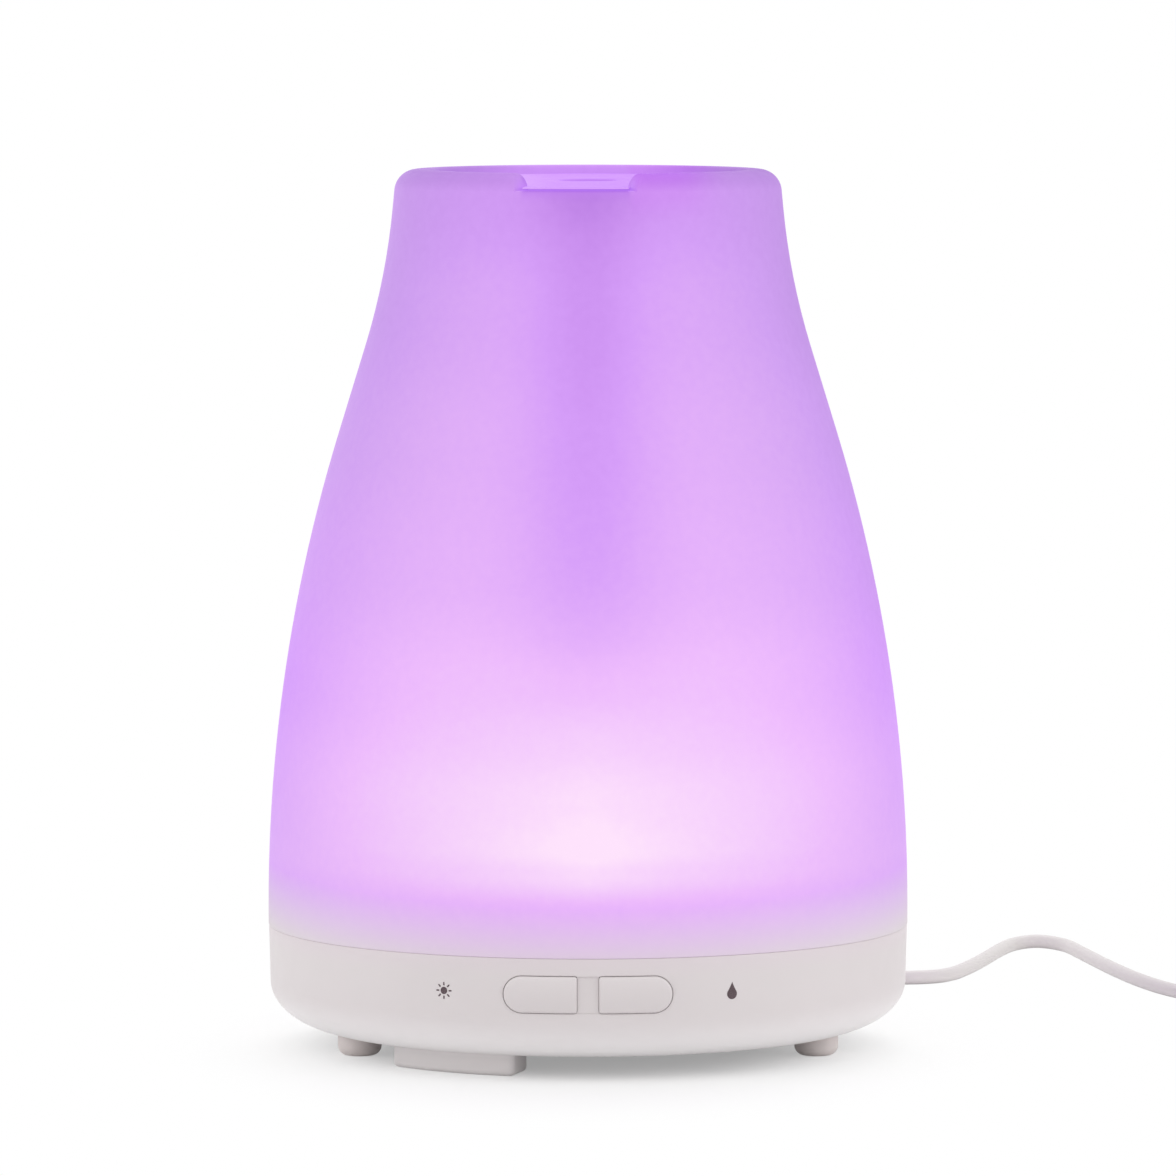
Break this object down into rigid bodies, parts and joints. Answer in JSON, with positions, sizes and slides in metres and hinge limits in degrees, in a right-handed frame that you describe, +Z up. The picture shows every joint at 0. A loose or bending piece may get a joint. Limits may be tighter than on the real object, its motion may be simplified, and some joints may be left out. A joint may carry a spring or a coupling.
{
  "type": "essential oil diffuser",
  "caption": "Ultrasonic aroma diffuser: round white base with two push buttons, tall tapered frosted cover with a top outlet, and a power lead with wall adapter.",
  "frame": {"origin": "centre of the base on the floor, level with the underside of the feet", "axes": "+Z up along the body's axis, the buttons face -Y, the power socket faces +Y"},
  "size_m": [0.238, 0.1766, 0.1372],
  "materials": {
    "white_plastic": "fine satin, warm off-white",
    "tank_plastic": "translucent, natural white",
    "cover_plastic": "frosted and translucent, lit violet from inside",
    "button_plastic": "satin",
    "foot_rubber": "matte, pale grey",
    "seal_rubber": "matte silicone",
    "steel": "zinc-plated",
    "disc_ceramic": "glazed, with a plated rim",
    "circuit_board": "green solder mask",
    "led_lens": "clear epoxy",
    "heat_sink_aluminium": "extruded",
    "copper_winding": "enamelled wire",
    "capacitor_sleeve": "heat-shrunk sleeve",
    "black_plastic": "fine texture",
    "cord_rubber": "matte, light warm grey",
    "adapter_plastic": "fine texture",
    "nickel_plate": "polished nickel plate"
  },
  "bodies": {
    "base": {"air_nozzle": "white_plastic", "base_screw_1": "steel", "base_screw_2": "steel", "base_screw_3": "steel", "base_screw_4": "steel", "base_shell": "white_plastic", "bottom_cover": "white_plastic", "capacitor": "capacitor_sleeve", "clamp_screw_1": "steel", "clamp_screw_2": "steel", "clamp_screw_3": "steel", "controller_chip": "black_plastic", "dc_socket": "black_plastic", "disc_clamp": "steel", "disc_seal": "seal_rubber", "fan_duct": "white_plastic", "fan_frame": "black_plastic", "heat_sink": "heat_sink_aluminium", "inductor": "copper_winding", "led_1": "led_lens", "led_2": "led_lens", "led_3": "led_lens", "led_4": "led_lens", "led_5": "led_lens", "led_6": "led_lens", "led_board": "circuit_board", "light_switch": "black_plastic", "main_board": "circuit_board", "mist_switch": "black_plastic", "rear_foot": "foot_rubber", "side_foot_left": "foot_rubber", "side_foot_right": "foot_rubber", "switch_board": "circuit_board", "tank_collar": "white_plastic", "ultrasonic_disc": "disc_ceramic", "water_tank": "tank_plastic"},
    "fan_rotor": {"fan_rotor": "black_plastic"},
    "cover": {"cover_shell": "cover_plastic", "top_insert": "cover_plastic", "mist_guide": "cover_plastic"},
    "light_button": {"light_button": "button_plastic", "light_switch_stem": "black_plastic"},
    "mist_button": {"mist_button": "button_plastic", "mist_switch_stem": "black_plastic"},
    "power_lead": {"plug_body": "cord_rubber", "plug_barrel": "nickel_plate", "power_cord": "cord_rubber", "adapter_cord": "cord_rubber", "cord_coil": "cord_rubber", "coil_tie": "black_plastic", "adapter_back": "adapter_plastic", "adapter_front": "adapter_plastic", "adapter_prong_1": "nickel_plate", "adapter_prong_2": "nickel_plate", "adapter_relief": "cord_rubber"}
  },
  "joints": [
    {"name": "cover_lift", "type": "slide", "parent": "base", "child": "cover", "axis": [0, 0, 1], "range_m": [0, 0.045]},
    {"name": "light_press", "type": "slide", "parent": "base", "child": "light_button", "axis": [0, 1, 0], "range_m": [0, 0.0005], "stiffness_N_per_m": 600},
    {"name": "mist_press", "type": "slide", "parent": "base", "child": "mist_button", "axis": [0, 1, 0], "range_m": [0, 0.0005], "stiffness_N_per_m": 600},
    {"name": "fan_spin", "type": "hinge", "parent": "base", "child": "fan_rotor", "pos_m": [-0.02136, 0.01234, 0.0094], "axis": [0, 0, 1], "continuous": true},
    {"name": "plug_pull", "type": "slide", "parent": "base", "child": "power_lead", "axis": [0, 1, 0], "range_m": [0, 0.014]}
  ]
}
